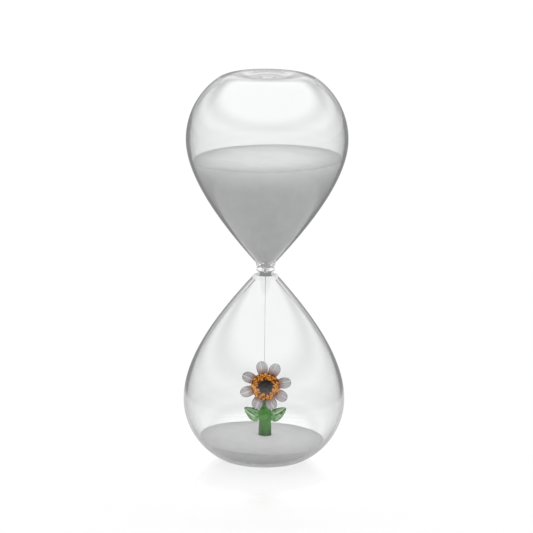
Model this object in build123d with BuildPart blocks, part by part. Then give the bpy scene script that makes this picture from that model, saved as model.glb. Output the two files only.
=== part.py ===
# Glass hourglass with a lampworked daisy standing in its lower bulb.
# Origin: centre of the foot ring, on the table. +Z up, the daisy faces -Y. Millimetres.
import os
from dataclasses import dataclass
from math import asin, atan2, cos, degrees, radians, sin, sqrt, tan

from build123d import *

os.makedirs("parts", exist_ok=True)

# ---- driving dimensions ----
overall_height = 194.0
waist_height = 97.3          # narrowest plane of the glass
bulb_radius = 40.0           # widest radius of both bulbs
wall = 1.6                   # blown wall of the bellies and the two end dishes
waist_radius = 4.5
waist_fillet = 5.94          # hollow radius that joins the two cones
cone_angle = 41.2            # neck cone, from the axis

ring_width = 2.2             # flat contact ring at each end
foot_dish_depth = 1.9        # how far each end dishes in
crown_dish_depth = 0.8
dish_flat_margin = 0.8       # flat middle of each dish, past the daisy's foot

collar_above = 2.7           # throat collar, from the narrowest plane up and down
collar_below = 1.6
collar_groove = 0.55         # depth of the grooves between the collar's beads
collar_bead_rise = 0.5
collar_beads = 2
orifice_radius = 0.55
orifice_drop = 0.8           # orifice below the narrowest plane
orifice_length = 0.5

fill_hole_radius = 3.2       # filling hole in the crown, closed by a melted pip
fill_pip_lip = 1.0
fill_pip_drop = 0.9
seat_hole_radius = 5.6       # hole in the lower floor, closed by the daisy's foot
seat_lip = 1.0
seat_lip_height = 0.7

sand_gap = 0.05              # sand to glass
upper_sand_level = 152.4     # on the axis
upper_sand_tilt = 1.5        # degrees, rises to +X
lower_sand_rim = 10.3        # above the table, at the wall
lower_sand_mound = 1.7       # rise of the mound in the middle
lower_sand_tilt = 1.9        # degrees, falls to +X
stream_radius = 0.42

flower_x = 0.7               # the daisy stands a little right of the axis
head_height = 38.0           # centre of the flower head
stem_foot_radius = 3.45
stem_top_radius = 2.6
stem_rise = 1.8              # stem end above the head's centre
hub_radius = 4.2
hub_back = 1.2               # back face of the hub, in front of the stem's centre line
hub_edge = 0.45
petal_angles = (101, 61, 10, -32, -72, -114, -162, 152)
petal_root = 2.7
petal_root_width = 1.7
petal_wide = 9.0             # distance out to the widest point
petal_gap = 0.75             # between the two closest neighbours, at the widest point
petal_tip = 12.7
petal_thickness = 1.4
disc_rim = 0.2               # amber disc past its outer drops
disc_thickness = 1.2
disc_edge = 0.5
core_radius = 3.4
core_height = 1.5
floret_radius = 0.75
floret_ring_counts = (14, 20)
floret_ring_gap = 0.25       # between the core and the rings of drops
leaf_reach = 10.8            # stem centre line to leaf tip
leaf_width = 5.2
leaf_thickness = 1.3
leaf_root_height = 20.4      # middle of the leaf root
leaf_rise = 5.8              # tip above the root
leaf_root_width = 4.2


@dataclass
class BulbShape:
    """One bulb, measured from its end ring towards the waist."""

    frame: Plane
    height: float            # ring to narrowest plane
    dish_depth: float
    belly_height: float      # ring to widest plane
    ring_radius: float
    corner_radius: float     # rounding from the ring into the belly
    belly_pull: float        # flank handles, as shares of the flank's height
    neck_pull: float
    neck_wall: float         # wall where the cone starts
    seam: float              # weld seam below the narrowest plane
    funnel_radius: float     # bore at the weld seam
    hole_radius: float       # hole in the dish


foot_frame = Plane.XZ
crown_frame = Plane(origin=(0, 0, overall_height), x_dir=(1, 0, 0), z_dir=(0, 1, 0))

lower_shape = BulbShape(foot_frame, waist_height, foot_dish_depth, 30.5, 18.4, 6.3, 0.33, 0.42,
                        1.9, collar_below, 1.5, seat_hole_radius)
upper_shape = BulbShape(crown_frame, overall_height - waist_height, crown_dish_depth, 32.1, 16.7, 14.6,
                        0.31, 0.40, 1.5, collar_above, 2.5, fill_hole_radius)

floor_height = foot_dish_depth + wall
crown_inside = crown_dish_depth + wall
flange_radius = seat_hole_radius + seat_lip
dish_flat_radius = flange_radius + dish_flat_margin
seam_low = waist_height - collar_below
seam_high = waist_height + collar_above
orifice_height = waist_height - orifice_drop
slope = radians(cone_angle)


# ---- glass outlines ----
def neck_radius(distance):
    """Outer radius at a distance from the narrowest plane, inside the waist fillet."""
    return waist_radius + waist_fillet - sqrt(waist_fillet**2 - distance**2)


def cone_end(shape, inset):
    """Where the neck cone meets the waist fillet, moved in from the outer face."""
    radius = waist_radius + waist_fillet * (1 - cos(slope)) - inset * cos(slope)
    return radius, shape.height - (waist_fillet + inset) * sin(slope)


def draw_dish(shape, inset, start):
    """Dish from the radius start out to the contact ring."""
    ring_inner = shape.ring_radius - ring_width
    middle = (ring_inner + dish_flat_radius) / 2
    level = shape.dish_depth + inset
    Line((start, level), (dish_flat_radius, level))
    Bezier((dish_flat_radius, level), (middle, level), (middle, inset), (ring_inner, inset))
    Line((ring_inner, inset), (shape.ring_radius, inset))


def draw_flank(shape, inset, neck_inset):
    """Corner and belly arcs, then the flank up to the neck cone."""
    corner = shape.corner_radius
    reach = bulb_radius - shape.ring_radius
    drop = shape.belly_height - corner
    belly = (reach**2 + drop**2 - corner**2) / (2 * (reach - corner))
    belly_centre = (bulb_radius - belly, shape.belly_height)
    turn = degrees(atan2(-drop, shape.ring_radius - belly_centre[0]))
    CenterArc((shape.ring_radius, corner), corner - inset, -90, turn + 90)
    CenterArc(belly_centre, belly - inset, turn, -turn)
    side = bulb_radius - inset
    end_x, end_y = cone_end(shape, neck_inset)
    length = cone_end(shape, 0)[1] - shape.belly_height
    pull = shape.neck_pull * length
    Bezier(
        (side, shape.belly_height),
        (side, shape.belly_height + shape.belly_pull * length),
        (end_x + pull * sin(slope), end_y - pull * cos(slope)),
        (end_x, end_y),
    )


def draw_bulb(shape):
    """Closed wall section of one bulb, from the dish hole to the weld seam."""
    seam_level = shape.height - shape.seam
    seam_radius = neck_radius(shape.seam)
    seam_turn = degrees(asin(shape.seam / waist_fillet))
    draw_dish(shape, 0, shape.hole_radius)
    draw_flank(shape, 0, 0)
    CenterArc((waist_radius + waist_fillet, shape.height), waist_fillet, 180 + seam_turn, cone_angle - seam_turn)
    Line((seam_radius, seam_level), (shape.funnel_radius, seam_level))
    Line((shape.funnel_radius, seam_level), cone_end(shape, shape.neck_wall))
    draw_flank(shape, wall, shape.neck_wall)
    draw_dish(shape, wall, shape.hole_radius)
    Line((shape.hole_radius, shape.dish_depth), (shape.hole_radius, shape.dish_depth + wall))


def draw_cavity(shape, gap, orifice_level):
    """Closed half section of the space inside one bulb, held off the glass by the gap."""
    seam_level = shape.height - shape.seam
    bore = orifice_radius - gap
    funnel = shape.funnel_radius - gap
    draw_dish(shape, wall + gap, 0)
    draw_flank(shape, wall + gap, shape.neck_wall + gap)
    Line(cone_end(shape, shape.neck_wall + gap), (funnel, seam_level))
    Line((funnel, seam_level), (bore, orifice_level - orifice_length))
    Line((bore, orifice_level - orifice_length), (bore, orifice_level))
    Line((bore, orifice_level), (0, orifice_level))
    Line((0, orifice_level), (0, shape.dish_depth + wall + gap))


# ---- glass ----
with BuildPart() as lower_bulb:
    with BuildSketch(lower_shape.frame):
        with BuildLine():
            draw_bulb(lower_shape)
        make_face()
    revolve(axis=Axis.Z)

with BuildPart() as upper_bulb:
    with BuildSketch(upper_shape.frame):
        with BuildLine():
            draw_bulb(upper_shape)
        make_face()
    revolve(axis=Axis.Z)

# Collar: two melted beads outside, a double funnel inside.
bead_pitch = (collar_above + collar_below) / collar_beads


def groove_point(joint):
    """Bottom of the groove under the bead with this number, counted up from the lower seam."""
    distance = joint * bead_pitch - collar_below
    return neck_radius(distance) - collar_groove, waist_height + distance


def bead_crown(bead):
    """Point of a bead that stands out the most."""
    low_radius, low = groove_point(bead)
    high_radius, high = groove_point(bead + 1)
    return (low_radius + high_radius) / 2 + collar_bead_rise, (low + high) / 2


with BuildPart() as throat_collar:
    with BuildSketch(Plane.XZ):
        with BuildLine():
            for bead in range(collar_beads):
                ThreePointArc(groove_point(bead), bead_crown(bead), groove_point(bead + 1))
            Polyline(
                groove_point(collar_beads),
                (upper_shape.funnel_radius, seam_high),
                (orifice_radius, orifice_height + orifice_length),
                (orifice_radius, orifice_height),
                (lower_shape.funnel_radius, seam_low),
                groove_point(0),
            )
        make_face()
    revolve(axis=Axis.Z)

# Pip that closes the filling hole: a plug in the hole and a drop hanging inside the crown.
pip_radius = fill_hole_radius + fill_pip_lip
with BuildPart() as fill_seal:
    with BuildSketch(crown_frame):
        with BuildLine():
            Polyline(
                (0, crown_inside + fill_pip_drop),
                (0, crown_dish_depth),
                (fill_hole_radius, crown_dish_depth),
                (fill_hole_radius, crown_inside),
                (pip_radius, crown_inside),
            )
            Bezier(
                (pip_radius, crown_inside),
                (pip_radius, crown_inside + fill_pip_drop),
                (fill_hole_radius, crown_inside + fill_pip_drop),
                (0, crown_inside + fill_pip_drop),
            )
        make_face()
    revolve(axis=Axis.Z)

# Clear foot of the daisy: it closes the hole in the floor and carries the stem.
stem_base = floor_height + seat_lip_height
with BuildPart() as daisy_foot:
    with BuildSketch(foot_frame):
        with BuildLine():
            Polyline(
                (0, stem_base),
                (0, foot_dish_depth),
                (seat_hole_radius, foot_dish_depth),
                (seat_hole_radius, floor_height),
                (flange_radius, floor_height),
                (flange_radius, stem_base),
                (0, stem_base),
            )
        make_face()
    revolve(axis=Axis.Z)

# ---- daisy ----
stem_top = head_height + stem_rise
hub_thickness = stem_foot_radius - hub_back
hub_front = -stem_foot_radius
petal_front = hub_front - petal_thickness
disc_front = petal_front - disc_thickness
floret_pitch = 2 * floret_radius + floret_ring_gap
disc_radius = core_radius + len(floret_ring_counts) * floret_pitch + disc_rim
turns = sorted(petal_angles)
closest_turn = min((after - before) % 360 for before, after in zip(turns, turns[1:] + turns[:1]))
petal_width = 2 * petal_wide * tan(radians(closest_turn / 2)) - petal_gap


def facing_plane(level, angle=0):
    """Plane that faces -Y at the given y, centred on the flower head and turned by the angle."""
    turn = radians(angle)
    return Plane(origin=(flower_x, level, head_height), x_dir=(cos(turn), 0, sin(turn)), z_dir=(0, -1, 0))


stem_plane = Plane.XY.offset(stem_base).move(Location((flower_x, 0, 0)))
with BuildPart() as flower_stem:
    with BuildSketch(stem_plane):
        Circle(stem_foot_radius)
    with BuildSketch(stem_plane.offset(stem_top - stem_base)):
        Circle(stem_top_radius)
    loft()
    fillet(flower_stem.edges().group_by(Axis.Z)[-1], stem_top_radius / 2)
    with BuildSketch(facing_plane(-hub_back)):
        Circle(hub_radius + hub_edge)
    extrude(amount=stem_foot_radius, mode=Mode.SUBTRACT)

with BuildPart() as flower_hub:
    with BuildSketch(facing_plane(-hub_back)):
        Circle(hub_radius)
    extrude(amount=hub_thickness)
    fillet(flower_hub.edges().group_by(Axis.Y)[-1], hub_edge)


def make_petal(angle):
    """One paddle-shaped petal, its root on the front of the hub."""
    half_root = petal_root_width / 2
    half_width = petal_width / 2
    round_pull = petal_tip - petal_wide
    with BuildPart() as petal:
        with BuildSketch(facing_plane(hub_front, angle)):
            with BuildLine():
                Line((petal_root, -half_root), (petal_root, half_root))
                Bezier(
                    (petal_root, half_root),
                    (petal_root + round_pull / 2, half_root),
                    (petal_wide - round_pull / 2, half_width),
                    (petal_wide, half_width),
                )
                Bezier(
                    (petal_wide, half_width),
                    (petal_wide + round_pull / 2, half_width),
                    (petal_tip, half_width / 2),
                    (petal_tip, 0),
                )
                Bezier(
                    (petal_tip, 0),
                    (petal_tip, -half_width / 2),
                    (petal_wide + round_pull / 2, -half_width),
                    (petal_wide, -half_width),
                )
                Bezier(
                    (petal_wide, -half_width),
                    (petal_wide - round_pull / 2, -half_width),
                    (petal_root + round_pull / 2, -half_root),
                    (petal_root, -half_root),
                )
            make_face()
        extrude(amount=petal_thickness)
    return petal.part


petals = [make_petal(angle) for angle in petal_angles]

with BuildPart() as amber_disc:
    with BuildSketch(facing_plane(petal_front)):
        Circle(disc_radius)
    extrude(amount=disc_thickness)
    fillet(amber_disc.edges().group_by(Axis.Y)[0], disc_edge)

with BuildPart() as dark_core:
    with BuildSketch(facing_plane(disc_front)):
        Circle(core_radius)
    extrude(amount=core_height)
    fillet(dark_core.edges().group_by(Axis.Y)[0], core_height * 0.8)

# Amber drops in rings round the dark core, all in one node.
with BuildPart() as amber_florets:
    with BuildSketch(facing_plane(disc_front)):
        for ring, count in enumerate(floret_ring_counts):
            ring_radius = core_radius + floret_ring_gap + floret_radius + ring * floret_pitch
            with PolarLocations(ring_radius, count, start_angle=ring * 180 / count):
                Circle(floret_radius)
    extrude(amount=floret_radius)
    fillet(amber_florets.edges().group_by(Axis.Y)[0], floret_radius * 0.8)


def make_leaf(side):
    """Ovate leaf on one side of the stem; its root is cut to the stem's own face."""
    half_root = leaf_root_width / 2
    half_width = leaf_width / 2
    bottom = leaf_root_height - half_root
    top = leaf_root_height + half_root
    tip = (leaf_reach, leaf_root_height + leaf_rise)
    middle = leaf_reach / 2
    frame = Plane(origin=(flower_x, 0, 0), x_dir=(side, 0, 0), z_dir=(0, -side, 0))
    with BuildPart() as leaf:
        with BuildSketch(frame):
            with BuildLine():
                Line((0, bottom), (0, top))
                Bezier((0, top), (middle, top), (middle, tip[1]), tip)
                Bezier(
                    tip,
                    (leaf_reach, leaf_root_height),
                    (leaf_reach, leaf_root_height - half_width),
                    (middle, leaf_root_height - half_width),
                )
                Line((middle, leaf_root_height - half_width), (0, bottom))
            make_face()
        extrude(amount=leaf_thickness / 2, both=True)
        add(flower_stem.part, mode=Mode.SUBTRACT)
    return leaf.part


leaves = {"leaf_left": make_leaf(-1), "leaf_right": make_leaf(1)}

# ---- sand ----
# Upper sand fills the cone down to the orifice under a level, slightly tilted surface.
upper_surface = Plane(
    origin=(0, 0, upper_sand_level),
    z_dir=(-sin(radians(upper_sand_tilt)), 0, cos(radians(upper_sand_tilt))),
)
with BuildPart() as upper_sand:
    with BuildSketch(upper_shape.frame):
        with BuildLine():
            draw_cavity(upper_shape, sand_gap, overall_height - orifice_height)
        make_face()
    revolve(axis=Axis.Z)
    split(bisect_by=upper_surface, keep=Keep.BOTTOM)

# Lower sand: a low mound on the floor, bored for the daisy's foot and stem.
mound_frame = Plane(
    origin=(0, 0, lower_sand_rim),
    x_dir=(cos(radians(lower_sand_tilt)), 0, -sin(radians(lower_sand_tilt))),
    z_dir=(0, -1, 0),
)
mound_axis = Axis((0, 0, lower_sand_rim), (sin(radians(lower_sand_tilt)), 0, cos(radians(lower_sand_tilt))))
with BuildPart() as lower_sand:
    with BuildSketch(lower_shape.frame):
        with BuildLine():
            draw_cavity(lower_shape, sand_gap, orifice_height)
        make_face()
    revolve(axis=Axis.Z)
    with BuildSketch(mound_frame):
        with BuildLine():
            Polyline(
                (0, lower_sand_mound),
                (0, -lower_sand_rim),
                (bulb_radius, -lower_sand_rim),
                (bulb_radius, 0),
            )
            Bezier(
                (bulb_radius, 0),
                (bulb_radius / 2, 0),
                (bulb_radius / 2, lower_sand_mound),
                (0, lower_sand_mound),
            )
        make_face()
    revolve(axis=mound_axis, mode=Mode.INTERSECT)
    with BuildSketch(Plane.XY):
        Circle(flange_radius + sand_gap)
    extrude(amount=stem_base + sand_gap, mode=Mode.SUBTRACT)
    with BuildSketch(stem_plane):
        Circle(stem_foot_radius + sand_gap)
    extrude(amount=stem_top, mode=Mode.SUBTRACT)

# Falling sand, from the orifice down to the end of the stem behind the flower head.
with BuildPart() as sand_stream:
    with BuildSketch(Plane.XY.offset(orifice_height)):
        Circle(stream_radius)
    extrude(amount=stem_top + sand_gap - orifice_height)

# ---- output ----
pieces = {
    "lower_bulb": lower_bulb.part,
    "upper_bulb": upper_bulb.part,
    "throat_collar": throat_collar.part,
    "fill_seal": fill_seal.part,
    "daisy_foot": daisy_foot.part,
    "flower_stem": flower_stem.part,
    "flower_hub": flower_hub.part,
    "amber_disc": amber_disc.part,
    "amber_florets": amber_florets.part,
    "dark_core": dark_core.part,
    "upper_sand": upper_sand.part,
    "lower_sand": lower_sand.part,
    "sand_stream": sand_stream.part,
}
pieces.update(leaves)
pieces.update({f"petal_{number}": petal for number, petal in enumerate(petals, start=1)})
for name, piece in pieces.items():
    piece.label = name
    export_step(piece, f"parts/{name}.step")
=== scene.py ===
from math import asin, atan2, cos, degrees, pi, radians, sin, sqrt

import bmesh
import bpy
import numpy as np
from mathutils import Matrix, Vector


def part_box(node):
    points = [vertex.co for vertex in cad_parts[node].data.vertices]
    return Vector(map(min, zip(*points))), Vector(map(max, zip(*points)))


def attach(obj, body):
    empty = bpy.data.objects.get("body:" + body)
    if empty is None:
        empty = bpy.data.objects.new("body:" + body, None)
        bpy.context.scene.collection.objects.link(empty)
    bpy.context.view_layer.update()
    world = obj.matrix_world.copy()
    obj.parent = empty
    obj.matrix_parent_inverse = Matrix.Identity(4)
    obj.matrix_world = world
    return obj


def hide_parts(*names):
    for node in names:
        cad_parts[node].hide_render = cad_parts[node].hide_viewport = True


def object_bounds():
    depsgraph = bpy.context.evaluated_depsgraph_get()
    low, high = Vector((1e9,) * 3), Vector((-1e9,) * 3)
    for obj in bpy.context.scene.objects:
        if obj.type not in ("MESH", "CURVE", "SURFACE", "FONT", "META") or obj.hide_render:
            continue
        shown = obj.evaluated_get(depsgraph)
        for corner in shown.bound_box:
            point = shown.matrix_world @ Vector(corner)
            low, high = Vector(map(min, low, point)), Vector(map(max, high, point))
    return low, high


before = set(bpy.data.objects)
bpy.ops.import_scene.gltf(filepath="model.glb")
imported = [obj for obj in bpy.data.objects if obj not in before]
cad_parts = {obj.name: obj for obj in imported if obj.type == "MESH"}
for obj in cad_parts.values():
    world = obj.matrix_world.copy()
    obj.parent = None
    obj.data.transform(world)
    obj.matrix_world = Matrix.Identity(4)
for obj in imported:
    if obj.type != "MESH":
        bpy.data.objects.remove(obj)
cadLow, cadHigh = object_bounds()
print("frame loaded, height", round(cadHigh.z, 4))

scene = bpy.context.scene
mm = 0.001
samePoint = 1e-7
nearLevel = 1e-5


# node helpers: sockets with operators, and one method for every other node
def operator(operation, swapped=False):
    def method(self, other):
        values = (other, self) if swapped else (self, other)
        return self.graph.math(operation, *values)
    return method


class Value:
    __add__ = operator("ADD")
    __radd__ = operator("ADD", True)
    __sub__ = operator("SUBTRACT")
    __rsub__ = operator("SUBTRACT", True)
    __mul__ = operator("MULTIPLY")
    __rmul__ = operator("MULTIPLY", True)
    __truediv__ = operator("DIVIDE")
    __pow__ = operator("POWER")

    def __init__(self, graph, made, output=0):
        self.graph = graph
        self.made = made
        self.socket = made.outputs[output] if made.outputs else None

    def __getitem__(self, output):
        return Value(self.graph, self.made, output)

    def __neg__(self):
        return self.graph.math("MULTIPLY", self, -1.0)

    def __abs__(self):
        return self.graph.math("ABSOLUTE", self)


class Graph:
    def __init__(self, tree):
        self.tree = tree

    def node(self, kind, settings=None, sockets=None, output=0):
        made = self.tree.nodes.new(kind)
        for name, setting in (settings or {}).items():
            if name == "stops":
                self.setStops(made.color_ramp, setting)
            else:
                setattr(made, name, setting)
        for key, value in (sockets or {}).items():
            if isinstance(value, Value):
                self.tree.links.new(value.socket, made.inputs[key])
            else:
                made.inputs[key].default_value = value
        return Value(self, made, output)

    def setStops(self, ramp, stops):
        while len(ramp.elements) < len(stops):
            ramp.elements.new(1.0)
        for element, (place, colour) in zip(ramp.elements, stops):
            element.position = place
            element.color = (*colour, 1.0)

    def math(self, operation, *values):
        return self.node("ShaderNodeMath", {"operation": operation}, dict(enumerate(values)))

    def ramp(self, factor, places, colours):
        return self.node("ShaderNodeValToRGB", {"stops": list(zip(places, colours))}, {"Fac": factor})

    def gloss(self, factor, low, high):
        # roughness that follows a noise
        return self.ramp(factor, (0.3, 0.8), ((low,) * 3, (high,) * 3))

    def noise(self, coords, scale, detail=3.0, roughness=0.5):
        sockets = {"Vector": coords, "Scale": scale, "Detail": detail, "Roughness": roughness}
        return self.node("ShaderNodeTexNoise", {}, sockets)

    def mix(self, factor, first, tone):
        sockets = {0: factor, 6: first, 7: (*tone, 1.0)}
        return self.node("ShaderNodeMix", {"data_type": "RGBA"}, sockets, 2)

    def bump(self, height, strength, distance):
        return self.node("ShaderNodeBump", {}, {"Height": height, "Strength": strength, "Distance": distance})

    def mapRange(self, value, source, target, smooth=False):
        # source and target are pairs of numbers
        settings = {"interpolation_type": "SMOOTHSTEP" if smooth else "LINEAR"}
        sockets = {0: value, 1: source[0], 2: source[1], 3: target[0], 4: target[1]}
        return self.node("ShaderNodeMapRange", settings, sockets)

    def separate(self, vector, output=0):
        return self.node("ShaderNodeSeparateXYZ", {}, {0: vector}, output)

    def combine(self, x, y, z):
        return self.node("ShaderNodeCombineXYZ", {}, {0: x, 1: y, 2: z})


def newMaterial(name):
    material = bpy.data.materials.new(name)
    material.use_nodes = True
    material.node_tree.nodes.clear()
    return material, Graph(material.node_tree)


def finishMaterial(graph, sockets):
    shader = graph.node("ShaderNodeBsdfPrincipled", {}, sockets)
    graph.node("ShaderNodeOutputMaterial", {}, {"Surface": shader})


def objectCoords(graph):
    return graph.node("ShaderNodeTexCoord", output="Object")


def metMoreThan(graph, kind, count):
    # one for a ray that has met more surfaces of this kind than the count
    return graph.math("GREATER_THAN", graph.node("ShaderNodeLightPath", output=kind), count + 0.5)


def mirroredRays(graph):
    # one for a ray that has met a gleam but no matt surface yet
    return metMoreThan(graph, "Glossy Depth", 0) * (1.0 - metMoreThan(graph, "Diffuse Depth", 0))


# materials
def makeClearGlass():
    spec = {
        "tint": (0.947, 0.95, 0.951), "faint": (0.932, 0.936, 0.937), "ior": 1.48, "waveScale": 22.0,
        "waveHeight": 0.02 * mm, "seedScale": 900.0, "seedStart": (0.72, 0.8), "seedRough": (0.0, 0.02),
        "surfaces": 11,
    }
    material, graph = newMaterial("clearGlass")
    coords = objectCoords(graph)
    waves = graph.noise(coords, spec["waveScale"], 1.0)
    seeds = graph.noise(coords, spec["seedScale"], 2.0)
    shader = graph.node("ShaderNodeBsdfPrincipled", {}, {
        "Base Color": graph.ramp(waves, (0.3, 0.7), (spec["faint"], spec["tint"])),
        "Roughness": graph.mapRange(seeds, spec["seedStart"], spec["seedRough"]),
        "IOR": spec["ior"], "Transmission Weight": 1.0,
        "Normal": graph.bump(waves, 1.0, spec["waveHeight"]),
    })
    # a ray that has met more surfaces than this goes straight on
    spent = metMoreThan(graph, "Ray Depth", spec["surfaces"])
    clear = graph.node("ShaderNodeBsdfTransparent")
    mixed = graph.node("ShaderNodeMixShader", {}, {0: spent, 1: shader, 2: clear})
    graph.node("ShaderNodeOutputMaterial", {}, {"Surface": mixed})
    return material


def makeWeld():
    # fused faces between two clear pieces: the glass runs through them
    material, graph = newMaterial("glassWeld")
    finishMaterial(graph, {"Base Color": (1.0, 1.0, 1.0, 1.0), "Alpha": 0.0})
    return material


def makeSand():
    spec = {
        "dark": (0.56, 0.56, 0.562), "light": (0.67, 0.67, 0.67), "shades": (0.34, 0.62),
        "grainScale": 2600.0, "clumpScale": 160.0, "grainShare": 0.65, "bumpGrain": 0.7, "bumpClump": 0.6,
        # the two colours at the end of the next line are the painted light under the upper rim and the
        # painted shade near the floor
        "bumpHeight": 0.12 * mm, "lit": (0.97, 0.97, 0.97), "deep": (0.22, 0.22, 0.222),
        "sideways": (0.1, 0.5), "rimHeights": (138.5 * mm, 151.5 * mm), "rimGlow": 0.7,
        "floorHeights": (2.0 * mm, 9.0 * mm), "floorShade": 0.55, "specular": 0.12,
    }
    material, graph = newMaterial("whiteSand")
    coords = objectCoords(graph)
    grain = graph.noise(coords, spec["grainScale"], 2.0, 0.7)
    clump = graph.noise(coords, spec["clumpScale"], 4.0, 0.6)
    shade = grain * spec["grainShare"] + clump * (1 - spec["grainShare"])
    colour = graph.ramp(shade, spec["shades"], (spec["dark"], spec["light"]))
    # painted light and painted shade: where it lies against the glass it is painted lighter under the upper
    # rim and painted darker near the floor
    height = graph.separate(coords, "Z")
    upward = graph.separate(graph.node("ShaderNodeNewGeometry", output="Normal"), "Z")
    side = graph.mapRange(upward, spec["sideways"], (1.0, 0.0))
    rim = graph.mapRange(height, spec["rimHeights"], (0.0, 1.0))
    low = graph.mapRange(height, spec["floorHeights"], (spec["floorShade"], 0.0))
    colour = graph.mix(rim ** 2.0 * side * spec["rimGlow"], colour, spec["lit"])
    colour = graph.mix(low * side, colour, spec["deep"])
    relief = grain * spec["bumpGrain"] + clump * spec["bumpClump"]
    finishMaterial(graph, {
        "Base Color": colour, "Roughness": 0.95, "Specular IOR Level": spec["specular"],
        "Normal": graph.bump(relief, 0.6, spec["bumpHeight"]),
    })
    return material


def makeStemGlass():
    spec = {
        "deep": (0.012, 0.085, 0.010), "bright": (0.09, 0.38, 0.045), "pale": (0.20, 0.52, 0.12),
        "places": (0.36, 0.5, 0.66), "shade": (0.018, 0.055, 0.012), "shadeHeights": (11.2 * mm, 22.5 * mm),
        "shadeDepth": 0.75, "cloudScale": 320.0, "fleckScale": 1500.0, "bumpHeight": 0.2 * mm,
    }
    material, graph = newMaterial("stemGlass")
    coords = objectCoords(graph)
    cloud = graph.noise(coords, spec["cloudScale"], 5.0, 0.65)
    fleck = graph.noise(coords, spec["fleckScale"], 3.0, 0.7)
    # painted shade: the stem is painted darker towards its foot in the sand
    paintedFootShade = graph.mapRange(graph.separate(coords, "Z"), spec["shadeHeights"], (spec["shadeDepth"], 0.0))
    tones = (spec["deep"], spec["bright"], spec["pale"])
    colour = graph.ramp(cloud * 0.5 + fleck * 0.5, spec["places"], tones)
    finishMaterial(graph, {
        "Base Color": graph.mix(paintedFootShade, colour, spec["shade"]), "Roughness": graph.gloss(fleck, 0.12, 0.3),
        "IOR": 1.5, "Transmission Weight": 0.25, "Specular IOR Level": 0.4,
        "Normal": graph.bump(fleck, 0.5, spec["bumpHeight"]),
    })
    return material


def bladeCoords(graph):
    # along the blade, across it from -1 to 1, and its seed
    return graph.separate(graph.node("ShaderNodeAttribute", {"attribute_name": "bladePlace"}, {}, "Vector"))


def makeLeafGlass():
    spec = {
        "deep": (0.06, 0.24, 0.05), "clear": (0.26, 0.55, 0.20), "pale": (0.52, 0.76, 0.44),
        "places": (0.34, 0.5, 0.68), "edge": (0.012, 0.04, 0.012), "glint": (0.95, 1.0, 0.95),
        "cloudScale": 600.0, "wobble": 0.25, "rimFrom": (0.74, 0.94), "foldFrom": (0.04, 0.12),
        "foldDepth": 0.9, "glintPlace": 0.24, "glintFrom": (0.05, 0.14), "outerFrom": (0.25, 0.5),
        "bumpHeight": 0.3 * mm,
    }
    material, graph = newMaterial("leafGlass")
    blade = bladeCoords(graph)
    across = blade["Y"]
    cloud = graph.noise(objectCoords(graph), spec["cloudScale"], 3.0)
    wobble = across + (cloud - 0.5) * spec["wobble"]
    colour = graph.ramp(cloud, spec["places"], (spec["deep"], spec["clear"], spec["pale"]))
    # painted shade darkens the rim and the fold down the middle with the edge colour; a painted highlight
    # lays a glint line beside the fold
    rim = graph.mapRange(abs(across), spec["rimFrom"], (0.0, 1.0))
    fold = graph.mapRange(abs(wobble), spec["foldFrom"], (spec["foldDepth"], 0.0))
    glint = graph.mapRange(abs(wobble - spec["glintPlace"]), spec["glintFrom"], (1.0, 0.0))
    outer = graph.mapRange(blade["X"], spec["outerFrom"], (0.0, 1.0))
    colour = graph.mix(rim, colour, spec["edge"])
    colour = graph.mix(fold * outer, colour, spec["edge"])
    colour = graph.mix(glint * outer, colour, spec["glint"])
    finishMaterial(graph, {
        "Base Color": colour, "Roughness": graph.gloss(cloud, 0.03, 0.14), "IOR": 1.5,
        "Transmission Weight": 0.6, "Normal": graph.bump(cloud, 0.4, spec["bumpHeight"]),
    })
    return material


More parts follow.
